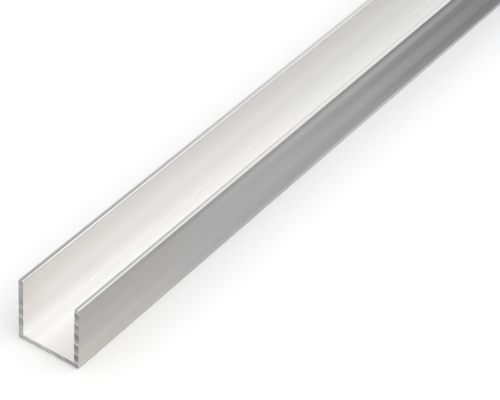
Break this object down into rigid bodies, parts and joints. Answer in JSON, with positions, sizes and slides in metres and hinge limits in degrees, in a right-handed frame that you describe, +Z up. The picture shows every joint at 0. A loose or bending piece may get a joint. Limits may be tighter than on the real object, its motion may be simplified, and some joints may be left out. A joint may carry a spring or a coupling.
{
  "type": "metal channel section",
  "caption": "Straight metal U channel: a flat web with two equal upright legs, open along the top and at both ends, to frame, edge or guide a panel.",
  "frame": {"origin": "centre of the web's underside, at mid length", "axes": "+X along the length, +Y across from leg to leg, +Z up out of the open side"},
  "size_m": [1, 0.02, 0.02],
  "materials": {
    "mill_aluminium": "mill finish, satin, faint die lines along the length, sawn ends"
  },
  "bodies": {
    "root": {"u_channel": "mill_aluminium"}
  },
  "joints": []
}
